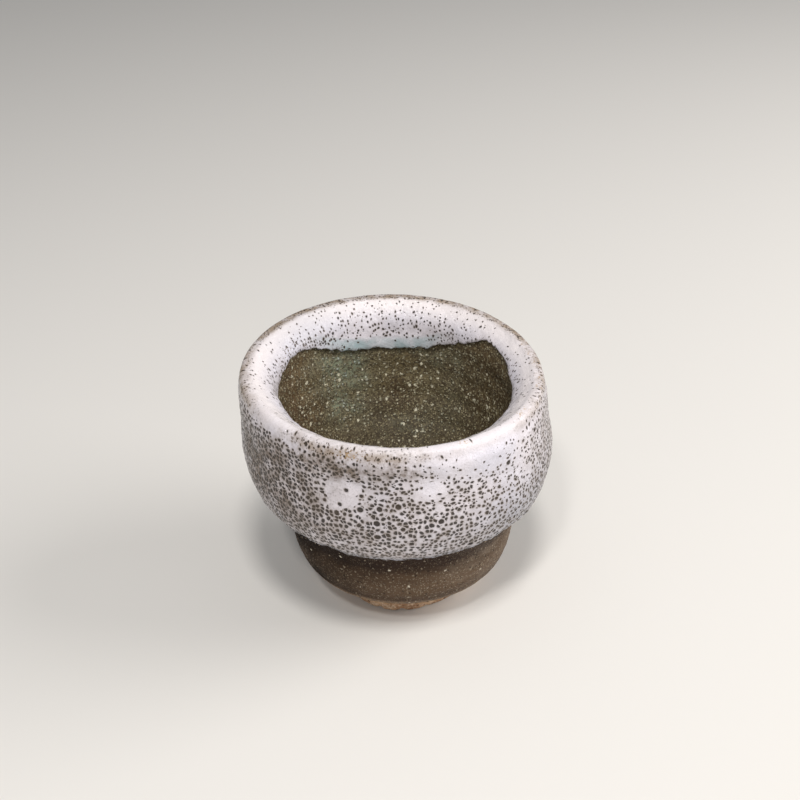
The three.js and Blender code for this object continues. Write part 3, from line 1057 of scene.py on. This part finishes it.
def unroll(piece, angle, s):
    # two flat maps of the skin in millimetres, one cut at the back and one at the front; up the skin
    # they stretch as much as they do round it, so that a spot stays round
    radius = white["mapRadius"]
    even = np.cumsum(np.gradient(skin["s"]) * radius / np.maximum(skin["r"], 5))
    v = np.interp(s, skin["s"], even)
    loops = np.empty(len(piece.data.loops), np.int32)
    piece.data.loops.foreach_get("vertex_index", loops)
    starts = np.empty(len(piece.data.polygons), np.int32)
    totals = np.empty(len(piece.data.polygons), np.int32)
    piece.data.polygons.foreach_get("loop_start", starts)
    piece.data.polygons.foreach_get("loop_total", totals)
    for name, cut in (("cutAtBack", 90), ("cutAtFront", 270)):
        u = ((angle - math.radians(cut)) % fullTurn)[loops]
        first = np.repeat(u[starts], totals)
        u = u - fullTurn * np.round((u - first) / fullTurn)
        uv = np.stack([u * radius, v[loops]], 1).astype(np.float32)
        piece.data.uv_layers.new(name=name).data.foreach_set("uv", uv.ravel())


def paintWhite(piece, angle, s, past, edgeOut, edgeIn):
    broad = cloud(angle, s, 5, 31)
    fine = cloud(angle, s, 1.1, 32)
    toBack = around(angle, 90, 75)
    toLeft = around(angle, 192, 34)
    brim = bell(past, 0.95 * toBack - 0.85, 0.85 - 0.3 * toBack + 0.12 * toLeft) * (1 + 0.5 * toBack)
    brim = brim * (0.85 + 0.3 * broad)
    for centre, spread, lost in white["brimGaps"]:
        brim = brim * (1 - lost * around(angle, centre, spread))
    paint(piece, "brim", brim)
    paint(piece, "gold", atPlaces(white["goldPlaces"], angle, past))
    # thin glaze in front, and on the left a painted shade
    thinAndShade = 0
    for centre, depth, wide, tall, power, steady, broadly, finely in white["thinAndShadePlaces"]:
        here = around(angle, centre, wide) * bell(past, depth, tall, power)
        thinAndShade = thinAndShade + here * (steady + broadly * broad + finely * fine)
    paint(piece, "thinAndShade", thinAndShade)
    runs = [amount * around(angle, centre, spread) for centre, spread, amount in white["tealRuns"]]
    centre, spread, amount = white["tealBetween"]
    teal = np.maximum(*runs) + amount * around(angle, centre, spread)
    paint(piece, "teal", teal * ease((s - edgeIn + 3.1) / 1.3) * (0.9 + 0.4 * broad))
    # bluish glaze pooled at the lower edge, darkened there as painted shade where the edge faces down; and
    # painted shade inside the left back
    cool = atPlaces(white["coolAndShadePlaces"], angle, past)
    paint(piece, "poolAndShade", np.maximum(ease((edgeOut + 3.4 - s) / 2.6) * (s < crest), cool))
    wider = 1.5 * around(angle, 155, 24)
    paint(piece, "fray", ease(s - edgeIn + 1.1 + wider) * (0.55 + 0.9 * fine))
    paint(piece, "lip", ease(1 - np.abs(past - 1.4) / 3.2))


def whiteMaterial():
    material, tree, shader, grains, colour = startFinish("whiteGlaze", white)
    crowd = painted(tree, "crowd")
    usual = painted(tree, "hole")
    front = painted(tree, "front")
    crater = painted(tree, "crater")
    veil = grains["veil"]
    free = rangeOf(tree, crater, 0.12, 0.3, 1.0, 0.0)
    # two unrolled maps meet at the sides, where one set of holes shrinks as the other grows
    hole = rangeOf(tree, crater, 0.42, 0.56)
    halo = rangeOf(tree, crater, 0.15, 0.5)
    behind = combine(tree, "SUBTRACT", 1.0, front)
    for name, weight in (("cutAtBack", front), ("cutAtFront", behind)):
        spread = addNode(tree, "ShaderNodeUVMap", None, {"uv_map": name}).outputs[0]
        share = times(tree, rangeOf(tree, weight, 0.35, 0.65), free)
        for cell, scale, chance in white["holeSets"]:
            size = times(tree, times(tree, usual, scale), share)
            likely = times(tree, crowd, chance)
            values = {"Map": spread, "Cell": cell, "Radius": size, "Chance": likely}
            got = useGroup(tree, pinholes, values)
            clear = combine(tree, "SUBTRACT", 1.0, rangeOf(tree, halo, 0.0, 0.25))
            hole = combine(tree, "MAXIMUM", hole, times(tree, got["Hole"], clear))
            halo = combine(tree, "MAXIMUM", halo, got["Halo"])

    def veiled(amount, *ends):
        # an amount that the veil makes uneven
        return times(tree, amount, rangeOf(tree, veil, *ends))

    brim = painted(tree, "brim")
    # thin glaze, with painted shade on the left
    thinAndShade = veiled(painted(tree, "thinAndShade"), 0.3, 0.6, 0.35, 1.0)
    worn = rangeOf(tree, brim, 0.1, 0.7)
    speckled = combine(tree, "MAXIMUM", worn, times(tree, thinAndShade, 0.7))
    coats = (
        (rangeOf(tree, grains["mottle"], 0.48, 0.72, 0.0, 0.3), colour["mottle"]),
        (veiled(crowd, 0.3, 0.65, 0.3, 0.8), colour["dense"]),
        (times(tree, painted(tree, "lip"), 0.7), colour["lip"]),
        # pooled glaze and painted shade
        (times(tree, painted(tree, "poolAndShade"), 0.8), colour["poolAndShade"]),
        (veiled(painted(tree, "teal"), 0.35, 0.62, 0.55, 1.0), colour["teal"]),
        (veiled(halo, 0.35, 0.65, 0.35, 0.8), colour["halo"]),
        (thinAndShade, colour["thinAndShade"]),
        (veiled(brim, 0.35, 0.6, 0.3, 0.85), colour["tan"]),
        (times(tree, speckled, grains["specks"]), colour["brownSpecks"]),
        (times(tree, painted(tree, "gold"), grains["specks"]), colour["gold"]),
        (times(tree, painted(tree, "fray"), grains["specks"]), colour["fray"]),
    )
    milky = rangeOf(tree, grains["milky"], 0.35, 0.7)
    base = layCoats(tree, mixColour(tree, milky, colour["warm"], colour["cool"]), coats)
    deep = mixColour(tree, rangeOf(tree, veil, 0.4, 0.6), colour["deepHole"], colour["hole"])
    base = mixColour(tree, times(tree, hole, 0.94), base, deep)
    rough = rangeOf(tree, veil, 0.3, 0.7, *white["roughness"])
    rough = combine(tree, "ADD", rough, times(tree, hole, 0.25))
    height = combine(tree, "SUBTRACT", times(tree, grains["ripple"], 0.7), hole)
    endFinish(tree, shader, base, rough, height, white["bump"])
    return material


print("turning the clay")
finishPiece(modelClay(), "clay_body", clayMaterial())
print("coating with slip")
finishPiece(modelSlip(), "iron_slip", slipMaterial())
print("lining the inside")
finishPiece(modelLining(), "inner_lining", liningMaterial())
print("dipping in white")
finishPiece(modelWhite(), "white_glaze", whiteMaterial())


studio = {
    "floorSize": 4.0,
    "floorColour": srgb(226, 222, 216),
    "floorRoughness": 0.9,
    "worldColour": (0.93, 0.96, 1.0, 1.0),
    "worldStrength": 0.26,
    # name: place, aimed-at point, width, power, colour
    "lamps": {
        "overhead": ((0.02, -0.24, 0.60), (0, 0, 0.03), 0.11, 1.65, (1.0, 0.985, 0.97)),
        "right": ((0.52, 0.02, 0.34), (0, 0, 0.03), 0.42, 2.45, (1.0, 0.985, 0.975)),
        "glint": ((-0.09, -0.34, 0.52), (0, 0, 0.04), 0.06, 0.75, (1.0, 0.99, 0.98)),
        "front": ((0.01, -0.50, 0.33), (0, 0, 0.04), 0.08, 0.36, (0.99, 0.99, 1.0)),
    },
}


def makeStudio():
    bpy.ops.object.select_all(action="DESELECT")
    bpy.ops.mesh.primitive_plane_add(size=studio["floorSize"])
    floor = bpy.context.object
    floor.name = "floor"
    material, tree, shader = startMaterial("paleFloor")
    shader.inputs["Base Color"].default_value = studio["floorColour"]
    shader.inputs["Roughness"].default_value = studio["floorRoughness"]
    floor.data.materials.append(material)
    for name, (place, aim, width, power, colour) in studio["lamps"].items():
        light = bpy.data.lights.new(name, "AREA")
        light.shape = "DISK"
        light.size = width
        light.energy = power
        light.color = colour
        lamp = bpy.data.objects.new(name, light)
        lamp.location = place
        lamp.rotation_euler = (Vector(aim) - Vector(place)).to_track_quat("-Z", "Y").to_euler()
        bpy.context.scene.collection.objects.link(lamp)
    world = bpy.data.worlds.new("softRoom")
    world.use_nodes = True
    sky = world.node_tree.nodes["Background"]
    sky.inputs["Color"].default_value = studio["worldColour"]
    sky.inputs["Strength"].default_value = studio["worldStrength"]
    bpy.context.scene.world = world


# The photo's viewing angle: metres, degrees and the lens in millimetres
camera = {
    "target": (0.00058, 0.0, 0.03918),
    "distance": 0.2215,
    "down": 32.48,
    "roll": -1.76,
    "lens": 54.0,
    "sensor": 36.0,
}


def makeCamera():
    data = bpy.data.cameras.new("eye")
    data.lens = camera["lens"]
    data.sensor_width = camera["sensor"]
    data.clip_start = 0.01
    eye = bpy.data.objects.new("eye", data)
    down = math.radians(camera["down"])
    back = Vector((0, -math.cos(down), math.sin(down))) * camera["distance"]
    eye.location = Vector(camera["target"]) + back
    aim = (-back).to_track_quat("-Z", "Y").to_matrix()
    roll = Matrix.Rotation(math.radians(camera["roll"]), 3, Vector((0, 0, 1)))
    eye.rotation_euler = (aim @ roll).to_euler()
    bpy.context.scene.collection.objects.link(eye)
    bpy.context.scene.camera = eye


makeStudio()
makeCamera()
bpy.context.scene.view_settings.view_transform = "Standard"
